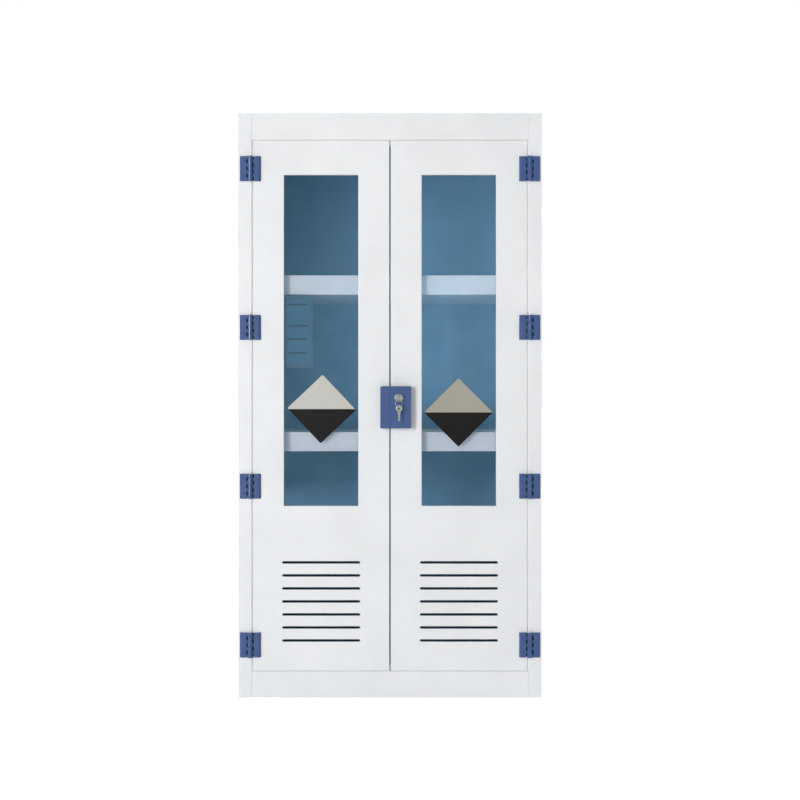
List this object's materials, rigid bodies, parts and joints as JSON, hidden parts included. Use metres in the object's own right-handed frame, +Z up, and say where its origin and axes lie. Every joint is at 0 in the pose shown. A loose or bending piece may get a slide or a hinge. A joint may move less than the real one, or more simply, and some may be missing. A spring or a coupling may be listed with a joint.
{
  "type": "reagent cabinet",
  "caption": "Tall plastic reagent cabinet with two glazed, louvred doors on knuckle hinges, tray shelves inside and a keyed lock across the doors.",
  "frame": {"origin": "middle of the cabinet's footprint, on the floor", "axes": "+Z up, the doors face -Y, +X to the right seen from the front"},
  "size_m": [0.935, 0.5083, 1.8],
  "materials": {
    "white_sheet": "white polypropylene sheet, satin",
    "blue_sheet": "blue polypropylene sheet, satin",
    "blue_fittings": "moulded blue plastic",
    "pane": "clear pane",
    "chrome": "polished chrome",
    "steel": "plain steel",
    "key_metal": "nickel-plated brass"
  },
  "bodies": {
    "root": {"left_side_panel": "white_sheet", "right_side_panel": "white_sheet", "top_panel": "white_sheet", "floor_panel": "white_sheet", "back_panel": "blue_sheet", "left_stile": "white_sheet", "right_stile": "white_sheet", "top_rail": "white_sheet", "plinth_rail": "white_sheet", "floor_bearer": "white_sheet", "top_stop_strip": "white_sheet", "bottom_stop_strip": "white_sheet", "upper_shelf_tray": "white_sheet", "lower_shelf_tray": "white_sheet", "upper_left_shelf_ledge": "white_sheet", "upper_right_shelf_ledge": "white_sheet", "lower_left_shelf_ledge": "white_sheet", "lower_right_shelf_ledge": "white_sheet", "left_frame_leaf_1": "blue_fittings", "left_frame_leaf_2": "blue_fittings", "left_frame_leaf_3": "blue_fittings", "left_frame_leaf_4": "blue_fittings", "right_frame_leaf_1": "blue_fittings", "right_frame_leaf_2": "blue_fittings", "right_frame_leaf_3": "blue_fittings", "right_frame_leaf_4": "blue_fittings", "left_hinge_pin_1": "steel", "left_hinge_pin_2": "steel", "left_hinge_pin_3": "steel", "left_hinge_pin_4": "steel", "right_hinge_pin_1": "steel", "right_hinge_pin_2": "steel", "right_hinge_pin_3": "steel", "right_hinge_pin_4": "steel"},
    "left_door": {"left_door_panel": "white_sheet", "left_window_pane": "pane", "left_pane_retainer": "white_sheet", "left_door_leaf_1": "blue_fittings", "left_door_leaf_2": "blue_fittings", "left_door_leaf_3": "blue_fittings", "left_door_leaf_4": "blue_fittings", "lock_keeper": "blue_fittings"},
    "right_door": {"right_door_panel": "white_sheet", "right_window_pane": "pane", "right_pane_retainer": "white_sheet", "right_door_leaf_1": "blue_fittings", "right_door_leaf_2": "blue_fittings", "right_door_leaf_3": "blue_fittings", "right_door_leaf_4": "blue_fittings", "lock_case": "blue_fittings", "lock_cylinder": "chrome"},
    "lock_plug": {"lock_plug": "chrome"},
    "lock_bolt": {"lock_bolt": "steel"},
    "key": {"lock_key": "key_metal"},
    "key_ring": {"key_ring": "steel"},
    "spare_key": {"spare_key": "key_metal"}
  },
  "joints": [
    {"name": "left_door_swing", "type": "hinge", "parent": "root", "child": "left_door", "pos_m": [-0.43, -0.2335, 0.9], "axis": [0, 0, -1], "range_deg": [0, 170]},
    {"name": "right_door_swing", "type": "hinge", "parent": "root", "child": "right_door", "pos_m": [0.43, -0.2335, 0.9], "axis": [0, 0, 1], "range_deg": [0, 170]},
    {"name": "lock_turn", "type": "hinge", "parent": "right_door", "child": "lock_plug", "pos_m": [0.0275, -0.229, 0.9235], "axis": [0, 1, 0], "range_deg": [0, 90]},
    {"name": "bolt_slide", "type": "slide", "parent": "right_door", "child": "lock_bolt", "axis": [-1, 0, 0], "range_m": [0, 0.0156]},
    {"name": "key_pull", "type": "slide", "parent": "lock_plug", "child": "key", "axis": [0, -1, 0], "range_m": [0, 0.025]},
    {"name": "ring_swing", "type": "hinge", "parent": "key", "child": "key_ring", "pos_m": [0.0275, -0.2722, 0.9235], "axis": [-1, 0, 0], "range_deg": [-8, 75]},
    {"name": "spare_key_swing", "type": "hinge", "parent": "key_ring", "child": "spare_key", "pos_m": [0.0275, -0.2722, 0.8915], "axis": [0, 1, 0], "range_deg": [-70, 70]}
  ],
  "couplings": [
    {"joint": "bolt_slide", "follows": "lock_turn", "m_per_rad": 0.009903}
  ]
}
